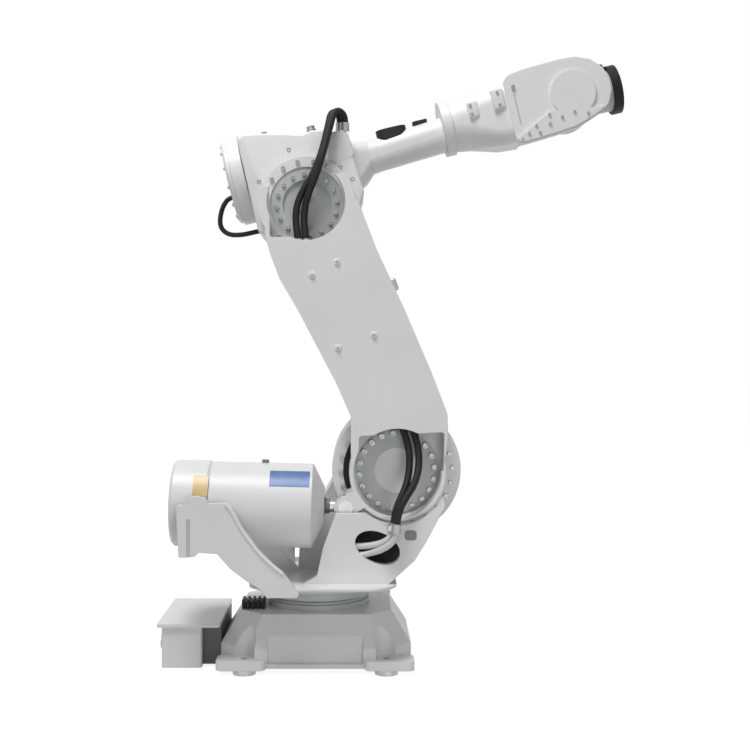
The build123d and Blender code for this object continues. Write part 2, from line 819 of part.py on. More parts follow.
def routes_from(routes, x, z):
    # routes whose points are given from a joint's axis
    return [[(x + px, y, z + pz) for px, y, pz in route] for route in routes]


low_routes = routes_from(low_hose_routes, shoulder_x, shoulder_z)
high_routes = routes_from(high_hose_routes, elbow_x, elbow_z)


def hose(points, radius):
    # straight runs joined by arcs as large as the shorter run beside each allows
    corners = [Vector(*p) for p in points]
    runs = [b - a for a, b in zip(corners, corners[1:])]
    radii = []
    for before, after in zip(runs, runs[1:]):
        half = radians(before.get_angle(after)) / 2
        radii.append(arc_share * min(before.length, after.length) / tan(half))
    path = FilletPolyline(*corners, radius=radii)
    start = Plane(origin=corners[0], z_dir=runs[0])
    tube = sweep(start * Circle(radius), path=path)
    print("hose of", round(path.length), "mm, tightest arc", round(min(radii)))
    return tube


def ferrule(points, at_end, radius):
    corners = [Vector(*p) for p in (points[::-1] if at_end else points)]
    plane = Plane(origin=corners[0], z_dir=corners[0] - corners[1])
    return extrude(plane * Circle(radius), amount=ferrule_length)


def low_hoses():
    return Part() + [hose(points, low_hose_radius) for points in low_routes]


def high_hoses():
    return Part() + [hose(points, high_hose_radius) for points in high_routes]


def reaching_block(shape, near, far):
    # a block that carries ferrules from a wall at one side
    box = shape.bounding_box()
    size = box.size
    return Pos(box.center().X, (near + far) / 2, box.center().Z) * Box(size.X, abs(far - near), size.Z / 2)


def frame_hose_clamp():
    ends = Part() + [ferrule(points, False, ferrule_radius) for points in low_routes]
    box = ends.bounding_box()
    return ends + reaching_block(ends, box.min.Y + ferrule_radius, wall_near)


def arm_hose_clamps():
    low = Part() + [ferrule(points, True, ferrule_radius) for points in low_routes]
    high = Part() + [ferrule(points, False, ferrule_radius) for points in high_routes]
    low += reaching_block(low, low.bounding_box().center().Y, web_near)
    high += reaching_block(high, high.bounding_box().center().Y, web_near)
    return low - low_hoses(), high - high_hoses()


def tower_hose_clamp():
    ends = Part() + [ferrule(points, True, ferrule_radius) for points in high_routes]
    return ends - elbow_casting()


# Black fittings on the tube and the small hose at the rear of the elbow
cover_place = 405.0
cover_length = 126.0
cover_width = 74.0
cover_top = 250.0
cover_bottom = 190.0
cover_y = -20.0
block_place = 530.0
block_length = 60.0
block_width = 60.0
block_corner = 10.0
block_top = 256.0
block_bottom = 200.0
rear_hose_radius = 10.0
rear_hose_y = -60.0
rear_hose_drop = -43.0
rear_hose_height = 116.0
rear_hose_route = [
    (-92.0, 116.0), (-118.0, 96.0), (-140.0, 60.0), (-152.0, 22.0), (-146.0, -8.0),
    (-120.0, -32.0), (-75.0, -42.0), (-35.0, -43.0),
]


def tube_fittings():
    oval = Pos(cover_place, cover_y, 0) * SlotOverall(cover_length, cover_width)
    block = Pos(block_place, 0, 0) * RectangleRounded(block_length, block_width, block_corner)
    top_plane = Plane(forearm_plane.origin, x_dir=forearm_axis, z_dir=forearm_plane.y_dir)
    oval_body = extrude(top_plane.offset(cover_bottom) * oval, amount=cover_top - cover_bottom)
    block_body = extrude(top_plane.offset(block_bottom) * block, amount=block_top - block_bottom)
    tube = forearm_tube()
    return oval_body - tube, block_body - tube


def tube_cover():
    return tube_fittings()[0]


def tube_block():
    return tube_fittings()[1]


def rear_hose():
    # from the drum's cap to the rear of the casting, its route measured from that rear face
    rear = forearm_offset * elbow_rear_share
    route = [(rear + s, t) for s, t in rear_hose_route]
    first = (drum_rear - drum_cap - seat_gap, rear_hose_height)
    last = (rear - seat_gap, rear_hose_drop)
    points = [on_forearm(s, t, rear_hose_y) for s, t in [first] + route + [last]]
    return hose([tuple(p) for p in points], rear_hose_radius)


pieces = {
    "floor_pads": floor_pads,
    "base_casting": base_casting,
    "neck_ring": neck_ring,
    "cable_box": cable_box,
    "cable_box_lid": cable_box_lid,
    "cable_duct": cable_duct,
    "box_connectors": box_connectors,
    "cable_inlet": cable_inlet,
    "turntable": turntable,
    "frame_casting": frame_casting,
    "shoulder_housing": shoulder_housing,
    "shoulder_motor": shoulder_motor,
    "turn_motor": turn_motor,
    "stop_post": stop_post,
    "frame_hose_clamp": frame_hose_clamp,
    "balancer_cylinder": balancer_cylinder,
    "balancer_rear_cap": balancer_rear_cap,
    "balancer_front_cap": balancer_front_cap,
    "balancer_rod": balancer_rod,
    "balancer_valve": balancer_valve,
    "lower_arm": lower_arm,
    "shoulder_flange": shoulder_flange,
    "ear_pin": ear_pin,
    "elbow_casting": elbow_casting,
    "elbow_hub": elbow_hub,
    "rear_drum": rear_drum,
    "elbow_motor": elbow_motor,
    "forearm_tube": forearm_tube,
    "tower_hose_clamp": tower_hose_clamp,
    "tube_cover": tube_cover,
    "tube_block": tube_block,
    "rear_hose": rear_hose,
    "wrist_flange": wrist_flange,
    "wrist_housing": wrist_housing,
    "near_cheek": near_cheek,
    "far_cheek": far_cheek,
    "cheek_covers": cheek_covers,
    "tilt_housing": tilt_housing,
    "turning_disc": turning_disc,
    "low_hoses": low_hoses,
    "high_hoses": high_hoses,
}
for name, make in pieces.items():
    save(name, make())
low_clamp, high_clamp = arm_hose_clamps()
save("low_hose_clamp", low_clamp)
save("high_hose_clamp", high_clamp)
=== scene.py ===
import json
from math import atan2, cos, pi, radians, sin, tan

import bmesh
import bpy
from mathutils import Matrix, Vector


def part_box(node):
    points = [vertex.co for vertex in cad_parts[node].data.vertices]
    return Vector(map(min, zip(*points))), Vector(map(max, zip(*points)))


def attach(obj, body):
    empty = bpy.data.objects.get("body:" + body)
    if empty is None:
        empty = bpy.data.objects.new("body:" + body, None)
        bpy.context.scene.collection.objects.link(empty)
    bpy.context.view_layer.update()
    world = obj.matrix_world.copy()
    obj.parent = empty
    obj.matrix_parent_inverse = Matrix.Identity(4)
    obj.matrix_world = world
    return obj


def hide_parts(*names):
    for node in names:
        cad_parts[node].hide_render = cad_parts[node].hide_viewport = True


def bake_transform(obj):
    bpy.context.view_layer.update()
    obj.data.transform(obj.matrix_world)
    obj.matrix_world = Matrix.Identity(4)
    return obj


# A floor-mounted handling robot: white castings, black hoses, a balancer and a forked wrist.
# Sizes are in metres, and the near side of the machine is towards -Y. Routes, outlines and points
# that are noted so are in millimetres.

bpy.ops.wm.read_factory_settings(use_empty=True)
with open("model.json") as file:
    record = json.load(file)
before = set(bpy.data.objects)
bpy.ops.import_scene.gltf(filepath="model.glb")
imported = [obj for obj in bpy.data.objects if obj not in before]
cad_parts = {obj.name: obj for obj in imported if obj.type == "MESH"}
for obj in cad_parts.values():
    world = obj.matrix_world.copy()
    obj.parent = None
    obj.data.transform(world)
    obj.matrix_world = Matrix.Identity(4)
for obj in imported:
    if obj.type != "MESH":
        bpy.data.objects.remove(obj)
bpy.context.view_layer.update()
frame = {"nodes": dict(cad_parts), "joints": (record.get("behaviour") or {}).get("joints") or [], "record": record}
nodes = frame["nodes"]
joints = {joint["name"]: joint for joint in frame["joints"]}
print("frame loaded:", len(nodes), "nodes")


# Places and directions taken from the joints
def jointPlace(name):
    return Vector(joints[name]["pos_m"])


millimetre = 0.001
nearSide = Vector((0, -1, 0))
farSide = -nearSide
upward = Vector((0, 0, 1))
shoulder = jointPlace("axis_2")
elbow = jointPlace("axis_3")
forearmAlong = Vector(joints["axis_4"]["axis"]).normalized()
forearmUp = Vector((-forearmAlong.z, 0, forearmAlong.x))
armAlong = (elbow - shoulder).normalized()
armAcross = Vector((-armAlong.z, 0, armAlong.x))


def nearFace(node):
    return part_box(node)[0].y


def onForearm(along, above, depth):
    # millimetres along and above the forearm from the elbow's axis, and Y in metres
    return elbow + forearmAlong * along * millimetre + forearmUp * above * millimetre + Vector((0, depth, 0))


def facing(place, outward, upHint=upward):
    # a matrix whose local Z points outward and whose local Y leans towards upHint
    zAxis = outward.normalized()
    xAxis = upHint.cross(zAxis).normalized()
    yAxis = zAxis.cross(xAxis)
    turn = Matrix((xAxis, yAxis, zAxis)).transposed().to_4x4()
    return Matrix.Translation(place) @ turn


nearlyUpright = 0.9  # how far a direction has to point up to count as upright


def hintFor(outward):
    # a direction that a face can lean towards without lying along its own outward one
    return upward if abs(outward.normalized().z) < nearlyUpright else nearSide


# Materials
def addNode(tree, kind, **values):
    node = tree.nodes.new(kind)
    for name, value in values.items():
        setattr(node, name, value)
    return node


def newMaterial(name):
    material = bpy.data.materials.new(name)
    material.use_nodes = True
    tree = material.node_tree
    tree.nodes.clear()
    output = addNode(tree, "ShaderNodeOutputMaterial")
    shader = addNode(tree, "ShaderNodeBsdfPrincipled")
    tree.links.new(shader.outputs["BSDF"], output.inputs["Surface"])
    return material, tree, shader


def noiseOn(tree, scale, detail, roughness=0.5):
    coordinates = addNode(tree, "ShaderNodeTexCoord")
    noise = addNode(tree, "ShaderNodeTexNoise")
    noise.inputs["Scale"].default_value = scale
    noise.inputs["Detail"].default_value = detail
    noise.inputs["Roughness"].default_value = roughness
    tree.links.new(coordinates.outputs["Object"], noise.inputs["Vector"])
    return noise


def rampBetween(tree, factor, low, high, start, end):
    ramp = addNode(tree, "ShaderNodeValToRGB")
    ramp.color_ramp.elements[0].position = start
    ramp.color_ramp.elements[0].color = (*low, 1)
    ramp.color_ramp.elements[1].position = end
    ramp.color_ramp.elements[1].color = (*high, 1)
    tree.links.new(factor, ramp.inputs["Fac"])
    return ramp.outputs["Color"]


def roughnessBetween(tree, factor, low, high):
    spread = addNode(tree, "ShaderNodeMapRange")
    spread.inputs["To Min"].default_value = low
    spread.inputs["To Max"].default_value = high
    tree.links.new(factor, spread.inputs["Value"])
    return spread.outputs["Result"]


edgeSamples = 6  # rays that each softened edge takes


def bumpFrom(tree, height, strength, distance, rounding):
    bump = addNode(tree, "ShaderNodeBump")
    bump.inputs["Strength"].default_value = strength
    bump.inputs["Distance"].default_value = distance
    tree.links.new(height, bump.inputs["Height"])
    if rounding:
        soft = addNode(tree, "ShaderNodeBevel", samples=edgeSamples)
        soft.inputs["Radius"].default_value = rounding
        tree.links.new(soft.outputs["Normal"], bump.inputs["Normal"])
    return bump.outputs["Normal"]


# How paint, metal and plastic are built up; what sets one from another is in their looks
paintDetail = {"cloudDetail": 4.0, "cloudFrom": 0.3, "cloudTo": 0.6, "patchFiner": 4, "patchDetail": 2.0,
               "smoother": 0.06, "rougher": 0.08, "peelDetail": 2.0, "peelHeight": 0.0006,
               "coatRoughness": 0.3, "specular": 0.5}
metalDetail = {"cloudScale": 30.0, "cloudDetail": 4.0, "cloudFrom": 0.3, "cloudTo": 0.7, "grainDetail": 2.0,
               "smoother": 0.08, "rougher": 0.1, "grainStrength": 0.15, "grainHeight": 0.0002}
plasticDetail = {"dustScale": 60.0, "dustDetail": 5.0, "dustRoughness": 0.6, "dustFrom": 0.45, "dustTo": 0.85,
                 "rougher": 0.15, "grainDetail": 2.0, "grainHeight": 0.0004}


def paintMaterial(name, look):
    # sprayed enamel over a casting: a faint cloudiness, orange peel and softened edges
    material, tree, shader = newMaterial(name)
    cloud = noiseOn(tree, look["cloudScale"], paintDetail["cloudDetail"])
    colour = rampBetween(tree, cloud.outputs["Fac"], look["shade"], look["colour"],
                         paintDetail["cloudFrom"], paintDetail["cloudTo"])
    tree.links.new(colour, shader.inputs["Base Color"])
    patches = noiseOn(tree, look["cloudScale"] * paintDetail["patchFiner"], paintDetail["patchDetail"])
    rough = roughnessBetween(tree, patches.outputs["Fac"], look["roughness"] - paintDetail["smoother"],
                             look["roughness"] + paintDetail["rougher"])
    tree.links.new(rough, shader.inputs["Roughness"])
    peel = noiseOn(tree, look["peelScale"], paintDetail["peelDetail"])
    normal = bumpFrom(tree, peel.outputs["Fac"], look["peel"], paintDetail["peelHeight"], look["rounding"])
    tree.links.new(normal, shader.inputs["Normal"])
    shader.inputs["Coat Weight"].default_value = look["coat"]
    shader.inputs["Specular IOR Level"].default_value = look.get("specular", paintDetail["specular"])
    shader.inputs["Coat Roughness"].default_value = paintDetail["coatRoughness"]
    return material


def metalMaterial(name, look):
    # machined or plated steel with fine, slightly uneven grain
    material, tree, shader = newMaterial(name)
    cloud = noiseOn(tree, metalDetail["cloudScale"], metalDetail["cloudDetail"])
    colour = rampBetween(tree, cloud.outputs["Fac"], look["shade"], look["colour"],
                         metalDetail["cloudFrom"], metalDetail["cloudTo"])
    tree.links.new(colour, shader.inputs["Base Color"])
    grain = noiseOn(tree, look["grain"], metalDetail["grainDetail"])
    rough = roughnessBetween(tree, grain.outputs["Fac"], look["roughness"] - metalDetail["smoother"],
                             look["roughness"] + metalDetail["rougher"])
    tree.links.new(rough, shader.inputs["Roughness"])
    normal = bumpFrom(tree, grain.outputs["Fac"], metalDetail["grainStrength"], metalDetail["grainHeight"],
                      look["rounding"])
    tree.links.new(normal, shader.inputs["Normal"])
    shader.inputs["Metallic"].default_value = look["metallic"]
    return material


def plasticMaterial(name, look):
    # moulded plastic or rubber: dark, with a fine texture and a dusty bloom
    material, tree, shader = newMaterial(name)
    dust = noiseOn(tree, plasticDetail["dustScale"], plasticDetail["dustDetail"],
                   plasticDetail["dustRoughness"])
    colour = rampBetween(tree, dust.outputs["Fac"], look["colour"], look["bloom"],
                         plasticDetail["dustFrom"], plasticDetail["dustTo"])
    tree.links.new(colour, shader.inputs["Base Color"])
    rough = roughnessBetween(tree, dust.outputs["Fac"], look["roughness"],
                             look["roughness"] + plasticDetail["rougher"])
    tree.links.new(rough, shader.inputs["Roughness"])
    grain = noiseOn(tree, look["grain"], plasticDetail["grainDetail"])
    normal = bumpFrom(tree, grain.outputs["Fac"], look["texture"], plasticDetail["grainHeight"],
                      look["rounding"])
    tree.links.new(normal, shader.inputs["Normal"])
    shader.inputs["Specular IOR Level"].default_value = look["specular"]
    return material


paintLooks = {
    "whiteEnamel": {"colour": (0.80, 0.80, 0.80), "shade": (0.745, 0.748, 0.752), "roughness": 0.42,
                    "cloudScale": 3.0, "peelScale": 420.0, "peel": 0.25, "rounding": 0.004, "coat": 0.15},
    "greyEnamel": {"colour": (0.56, 0.565, 0.57), "shade": (0.5, 0.505, 0.51), "roughness": 0.42,
                   "cloudScale": 4.0, "peelScale": 420.0, "peel": 0.25, "rounding": 0.003, "coat": 0.1},
    "motorEnamel": {"colour": (0.66, 0.665, 0.67), "shade": (0.6, 0.6, 0.6), "roughness": 0.4,
                    "cloudScale": 5.0, "peelScale": 500.0, "peel": 0.2, "rounding": 0.003, "coat": 0.1},
    "darkEnamel": {"colour": (0.2, 0.2, 0.205), "shade": (0.16, 0.16, 0.165), "roughness": 0.45,
                   "cloudScale": 6.0, "peelScale": 500.0, "peel": 0.2, "rounding": 0.002, "coat": 0.1},
    "discEnamel": {"colour": (0.012, 0.012, 0.014), "shade": (0.007, 0.007, 0.008), "roughness": 0.5,
                   "cloudScale": 9.0, "peelScale": 500.0, "peel": 0.2, "rounding": 0.002, "coat": 0.0,
                   "specular": 0.2},
    # near-black enamel: the wrist stop's own dark colour, and painted shade on the cable duct
    "nearBlackAndPaintedShadeEnamel": {"colour": (0.1, 0.1, 0.103), "shade": (0.07, 0.07, 0.073), "roughness": 0.5,
                    "cloudScale": 6.0, "peelScale": 500.0, "peel": 0.2, "rounding": 0.002, "coat": 0.0},
    "bluePlate": {"colour": (0.1, 0.2, 0.45), "shade": (0.08, 0.17, 0.4), "roughness": 0.38,
                  "cloudScale": 30.0, "peelScale": 300.0, "peel": 0.05, "rounding": 0.0, "coat": 0.2},
    "yellowPlate": {"colour": (0.72, 0.55, 0.26), "shade": (0.64, 0.48, 0.21), "roughness": 0.4,
                    "cloudScale": 30.0, "peelScale": 300.0, "peel": 0.05, "rounding": 0.0, "coat": 0.2},
}
metalLooks = {
    "padSteel": {"colour": (0.5, 0.5, 0.5), "shade": (0.38, 0.38, 0.38), "roughness": 0.42,
                 "grain": 300.0, "rounding": 0.002, "metallic": 0.9},
    "rodSteel": {"colour": (0.62, 0.62, 0.63), "shade": (0.5, 0.5, 0.51), "roughness": 0.24,
                 "grain": 500.0, "rounding": 0.001, "metallic": 1.0},
    "screwSteel": {"colour": (0.42, 0.42, 0.43), "shade": (0.3, 0.3, 0.31), "roughness": 0.36,
                   "grain": 800.0, "rounding": 0.0006, "metallic": 0.9},
    "fittingMetal": {"colour": (0.4, 0.4, 0.41), "shade": (0.28, 0.28, 0.29), "roughness": 0.38,
                     "grain": 600.0, "rounding": 0.001, "metallic": 0.9},
}
plasticLooks = {
    "blackPlastic": {"colour": (0.01, 0.01, 0.011), "bloom": (0.025, 0.025, 0.027), "roughness": 0.48,
                     "grain": 900.0, "texture": 0.3, "rounding": 0.002, "specular": 0.3},
    "hoseRubber": {"colour": (0.008, 0.008, 0.009), "bloom": (0.02, 0.02, 0.022), "roughness": 0.5,
                   "grain": 700.0, "texture": 0.25, "rounding": 0.0, "specular": 0.25},
}
materials = {name: paintMaterial(name, look) for name, look in paintLooks.items()}
materials.update({name: metalMaterial(name, look) for name, look in metalLooks.items()})
materials.update({name: plasticMaterial(name, look) for name, look in plasticLooks.items()})

finishes = {
    "white_paint": "whiteEnamel",
    "grey_paint": "greyEnamel",
    "motor_grey": "motorEnamel",
    "dark_grey": "darkEnamel",
    "disc_black": "discEnamel",
    "pad_steel": "padSteel",
    "rod_steel": "rodSteel",
    "connector_metal": "fittingMetal",
    "dark_plastic": "blackPlastic",
    "hose_rubber": "hoseRubber",
}
# the cable duct takes near-black enamel: painted shade for the duct, which sits recessed in shadow under the lid
# of the rear box
paintedShadeNodeLooks = {"cable_duct": "nearBlackAndPaintedShadeEnamel"}
nodeSlots = {part["node"]: part["material_slot"] for part in frame["record"]["subparts"]}
for nodeName, node in nodes.items():
    for materialSlot in node.material_slots:
        materialSlot.material = materials[paintedShadeNodeLooks.get(nodeName, finishes[nodeSlots[nodeName]])]
print("materials made:", len(materials))


# Making and finishing pieces
mergeDistance = 0.00001
sharpTurn = radians(35)  # edges that turn by more than this stay crisp
rimSteps = 3  # faces across a soft edge


def finishPiece(name, bm, body, slotName, smooth=True, look=None):
    bmesh.ops.remove_doubles(bm, verts=bm.verts, dist=mergeDistance)
    bmesh.ops.recalc_face_normals(bm, faces=bm.faces)
    mesh = bpy.data.meshes.new(name)
    bm.to_mesh(mesh)
    bm.free()
    return finishMesh(name, mesh, body, slotName, smooth, look)


def finishMesh(name, mesh, body, slotName, smooth=True, look=None):
    piece = bpy.data.objects.new(name, mesh)
    bpy.context.scene.collection.objects.link(piece)
    mesh.materials.append(materials[look or finishes[slotName]])
    if smooth:
        mesh.shade_smooth()
        mesh.set_sharp_from_angle(angle=sharpTurn)
    if body:
        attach(piece, body)
    return piece


# Socket screws: a round head with a hexagon socket, chamfered at the rim
screwShape = {"heightShare": 0.9, "socketShare": 0.55, "socketDepthShare": 0.6, "rimShare": 0.12,
              "rimSteps": 2, "sides": 18}


def screwMesh(radius):
    bm = bmesh.new()
    height = radius * screwShape["heightShare"]
    bmesh.ops.create_cone(
        bm, cap_ends=True, segments=screwShape["sides"], radius1=radius, radius2=radius, depth=height,
        matrix=Matrix.Translation((0, 0, height / 2)),
    )
    top = [f for f in bm.faces if f.normal.z > nearlyUpright]
    rim = list({e for f in top for e in f.edges})
    bmesh.ops.bevel(
        bm, geom=rim, offset=radius * screwShape["rimShare"], affect="EDGES", segments=screwShape["rimSteps"],
        profile=0.5, material=-1,
    )
    top = [max((f for f in bm.faces if f.normal.z > nearlyUpright), key=lambda f: f.calc_area())]
    wall = radius * (1 - screwShape["socketShare"] - screwShape["rimShare"])
    bmesh.ops.inset_region(bm, faces=top, thickness=wall)
    for corner in top[0].verts:
        turn = atan2(corner.co.y, corner.co.x)
        sixth = (turn % (pi / 3)) - pi / 6
        reach = radius * screwShape["socketShare"] / cos(sixth)
        corner.co.x, corner.co.y = reach * cos(turn), reach * sin(turn)
    inner = bmesh.ops.extrude_discrete_faces(bm, faces=top)["faces"]
    sunk = (0, 0, -height * screwShape["socketDepthShare"])
    bmesh.ops.translate(bm, vec=sunk, verts=list(inner[0].verts))
    mesh = bpy.data.meshes.new("screwShape")
    bm.to_mesh(mesh)
    bm.free()
    return mesh


def copiesOf(shape, places, outward):
    # the same small mesh set at several places, all facing one way
    bm = bmesh.new()
    for place in places:
        before = len(bm.verts)
        bm.from_mesh(shape)
        bm.verts.ensure_lookup_table()
        turn = facing(place, outward, hintFor(outward))
        bmesh.ops.transform(bm, matrix=turn, verts=bm.verts[before:])
    bpy.data.meshes.remove(shape)
    return bm


def screwsAt(name, places, outward, radius, body):
    bm = copiesOf(screwMesh(radius), places, outward)
    return finishPiece(name, bm, body, "connector_metal", look="screwSteel")


turnedSides = 36


def turnedAt(name, profile, places, outward, body, slotName, look=None):
    # a shape turned about its own axis, from pairs of radius and height
    bm = bmesh.new()
    corners = [bm.verts.new((radius, 0, height)) for radius, height in profile]
    lines = [bm.edges.new(pair) for pair in zip(corners, corners[1:])]
    bmesh.ops.spin(
        bm, geom=corners + lines, axis=(0, 0, 1), cent=(0, 0, 0), dvec=(0, 0, 0), angle=2 * pi,
        steps=turnedSides, use_merge=True, use_duplicate=False,
    )
    shape = bpy.data.meshes.new(name + "Shape")
    bm.to_mesh(shape)
    bm.free()
    return finishPiece(name, copiesOf(shape, places, outward), body, slotName, look=look)


def blockAt(name, size, rim, place, outward, body, slotName, upHint, look=None):
    # a block with soft edges that stands on its place
    bm = bmesh.new()
    bmesh.ops.create_cube(bm, size=1)
    bmesh.ops.scale(bm, vec=size, verts=bm.verts)
    bmesh.ops.translate(bm, vec=(0, 0, size[2] / 2), verts=bm.verts)
    bmesh.ops.bevel(
        bm, geom=bm.edges[:], offset=rim, affect="EDGES", segments=rimSteps, profile=0.5, material=-1,
    )
    bmesh.ops.transform(bm, matrix=facing(place, outward, upHint), verts=bm.verts)
    return finishPiece(name, bm, body, slotName, look=look)


def prismMesh(outline, depth, rim):
    # an outline in local X and Y, raised along local Z, with a soft rim at its top
    bm = bmesh.new()
    face = bm.faces.new([bm.verts.new((*corner, 0)) for corner in outline])
    raised = bmesh.ops.extrude_face_region(bm, geom=[face])["geom"]
    moved = [v for v in raised if isinstance(v, bmesh.types.BMVert)]
    bmesh.ops.translate(bm, vec=(0, 0, depth), verts=moved)
    top = [f for f in raised if isinstance(f, bmesh.types.BMFace)]
    if rim:
        edges = list({e for f in top for e in f.edges})
        bmesh.ops.bevel(
            bm, geom=edges, offset=rim, affect="EDGES", segments=rimSteps, profile=0.5, material=-1,
        )
    return bm


cornerShape = {"steps": 5, "sideShare": 0.48}


def cornersRounded(outline, radius):
    # the outline with an arc of one radius at each corner, as far as its sides allow
    points = [Vector(p) for p in outline]
    result = []
    for i, corner in enumerate(points):
        back = points[i - 1] - corner
        ahead = points[(i + 1) % len(points)] - corner
        half = (pi - back.angle(ahead)) / 2
        longest = cornerShape["sideShare"]
        reach = min(radius * tan(half), back.length * longest, ahead.length * longest)
        start, end = corner + back.normalized() * reach, corner + ahead.normalized() * reach
        for k in range(cornerShape["steps"] + 1):
            share = k / cornerShape["steps"]
            result.append(start * (1 - share) ** 2 + corner * 2 * share * (1 - share) + end * share ** 2)
    return result


def turnsBetween(low, high, steps):
    # even turns from one angle in degrees to another
    return [radians(low + (high - low) * k / steps) for k in range(steps + 1)]


def arc(radius, turns):
    return [(radius * cos(t), radius * sin(t)) for t in turns]


def circlePlaces(centre, outward, radius, count, firstTurn, upHint=upward):
    # places round a circle; turns are counted from the face's right hand, as one looks at it
    plane = facing(centre, outward, upHint)
    turns = [firstTurn + 2 * pi * i / count for i in range(count)]
    return [plane @ Vector((radius * cos(t), radius * sin(t), 0)) for t in turns]


# Hoses: each follows the route of its CAD tube, in millimetres from the axis that it passes
hoseRoutes = {
    "lowHoseInner": {
        "from": shoulder, "bodies": ("frame", "lower_arm"), "replaces": "low_hoses",
        "radius": 0.014, "length": 0.52, "bendStart": 4, "bendEnd": 6,
        "points": [
            (-17, -377, -183), (-13, -380, -146), (4, -369, -101), (32, -336, -48), (47, -300, 19),
            (47, -276, 87), (28, -266, 156), (-2, -262, 225), (-29, -262, 293),
        ],
    },
    "lowHoseOuter": {
        "from": shoulder, "bodies": ("frame", "lower_arm"), "replaces": "low_hoses",
        "radius": 0.014, "length": 0.55, "bendStart": 4, "bendEnd": 6,
        "points": [
            (-7, -402, -183), (-2, -407, -140), (24, -394, -91), (61, -358, -42), (83, -310, 19),
            (83, -280, 89), (65, -268, 162), (37, -262, 232), (10, -262, 301),
        ],
    },
    "highHoseInner": {
        "from": elbow, "bodies": ("lower_arm", "upper_arm"), "replaces": "high_hoses",
        "radius": 0.014, "length": 0.63, "bendStart": 1, "bendEnd": 6,
        "points": [
            (-32, -257, -147), (-44, -245, -79), (-40, -239, -10), (-14, -236, 54),
            (25, -236, 112), (50, -236, 176), (68, -216, 240), (80, -203, 296), (87, -191, 330),
            (92, -179, 357), (103, -166, 374), (120, -149, 374), (131, -136, 357), (131, -136, 335),
        ],
    },
    "highHoseOuter": {
        "from": elbow, "bodies": ("lower_arm", "upper_arm"), "replaces": "high_hoses",
        "radius": 0.014, "length": 0.63, "bendStart": 1, "bendEnd": 6,
        "points": [
            (-2, -258, -147), (-12, -244, -79), (-7, -242, -10), (12, -254, 49),
            (39, -268, 109), (60, -268, 176), (76, -249, 240), (89, -234, 294), (97, -225, 325),
            (103, -216, 352), (117, -201, 372), (136, -181, 372), (150, -166, 352), (150, -166, 330),
        ],
    },
}
rearHose = {  # millimetres along and above the forearm
    "radius": 0.010, "length": 0.316, "side": -0.060,
    "points": [
        (-289.3, 116.0), (-307.0, 116.0), (-333.0, 96.0), (-355.0, 60.0), (-367.0, 22.0), (-361.0, -8.0),
        (-335.0, -32.0), (-290.0, -42.0), (-250.0, -43.0), (-215.3, -43.0),
    ],
}
hoseShape = {"order": 3, "stepsAlong": 10, "stepsRound": 5, "leastStep": 2 * millimetre}


def hoseMesh(name, points, radius):
    # a tube on a smooth curve through its route, and the points of the curve's own line
    curve = bpy.data.curves.new(name, "CURVE")
    curve.dimensions = "3D"
    curve.resolution_u = hoseShape["stepsAlong"]
    spline = curve.splines.new("NURBS")
    spline.points.add(len(points) - 1)
    for knot, place in zip(spline.points, points):
        knot.co = (*place, 1)
    spline.order_u = hoseShape["order"]
    spline.use_endpoint_u = True
    holder = bpy.data.objects.new(name + "Route", curve)
    bpy.context.scene.collection.objects.link(holder)
    bpy.context.view_layer.update()
    line = bpy.data.meshes.new_from_object(holder)
    path = []
    for vertex in line.vertices:
        if not path or (vertex.co - path[-1]).length > hoseShape["leastStep"]:
            path.append(vertex.co.copy())
    curve.bevel_depth = radius
    curve.bevel_resolution = hoseShape["stepsRound"]
    curve.use_fill_caps = True
    bpy.context.view_layer.update()
    mesh = bpy.data.meshes.new_from_object(holder.evaluated_get(bpy.context.evaluated_depsgraph_get()))
    bpy.data.objects.remove(holder)
    bpy.data.meshes.remove(line)
    mesh.materials.clear()
    return mesh, path


for hoseName, route in hoseRoutes.items():
    origin = Vector((route["from"].x, 0, route["from"].z))
    places = [origin + Vector(p) * millimetre for p in route["points"]]
    mesh, path = hoseMesh(hoseName, places, route["radius"])
    hose = finishMesh(hoseName, mesh, None, "hose_rubber")
    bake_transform(hose)
    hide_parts(route["replaces"])

places = [onForearm(along, above, rearHose["side"]) for along, above in rearHose["points"]]
mesh, path = hoseMesh("rearHose", places, rearHose["radius"])
hose = finishMesh("rearHose", mesh, "upper_arm", "hose_rubber")
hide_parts("rear_hose")
print("hoses made")

# Screws round the bearings, as deep as the faces they hold
screwRings = {
    "flangeScrews": {"centre": shoulder, "depth": nearFace("shoulder_flange"), "body": "lower_arm",
                     "circle": 0.150, "count": 20, "radius": 0.0125, "firstTurn": 0.1},
    "housingScrews": {"centre": shoulder, "depth": nearFace("shoulder_housing"), "body": "frame",
                      "circle": 0.222, "count": 24, "radius": 0.0095, "firstTurn": 0.035},
    "elbowRingScrews": {"centre": elbow, "depth": -0.209, "body": "lower_arm",
                        "circle": 0.170, "count": 17, "radius": 0.009, "firstTurn": 3.269},
    "discScrews": {"centre": elbow, "depth": nearFace("elbow_hub"), "body": "upper_arm",
                   "circle": 0.120, "count": 16, "radius": 0.0085, "firstTurn": 0.1},
}
for name, group in screwRings.items():
    centre = Vector((group["centre"].x, group["depth"], group["centre"].z))
    places = circlePlaces(centre, nearSide, group["circle"], group["count"], group["firstTurn"])
    screwsAt(name, places, nearSide, group["radius"], group["body"])

# Screws on the wrist and the elbow, at places in millimetres along and above the forearm
looseScrews = {
    "cheekScrews": {"depth": -0.150, "radius": 0.008, "body": "wrist", "places": [(913, 277)]},
    "coverScrews": {"depth": -0.158, "radius": 0.006, "body": "wrist",
                    "places": [(968, 103), (932, 80), (976, 73), (903, 62), (1029, 135), (1077, 112),
                               (1023, 98), (1130, 122), (1182, 106)]},
    "elbowScrews": {"depth": -0.1757, "radius": 0.009, "body": "upper_arm",
                    "places": [(-166, 135), (-180, 60), (-183, -12), (163, 117), (200, 60), (-22, 232)]},
}
for name, group in looseScrews.items():
    places = [onForearm(along, above, group["depth"]) for along, above in group["places"]]
    screwsAt(name, places, nearSide, group["radius"], group["body"])

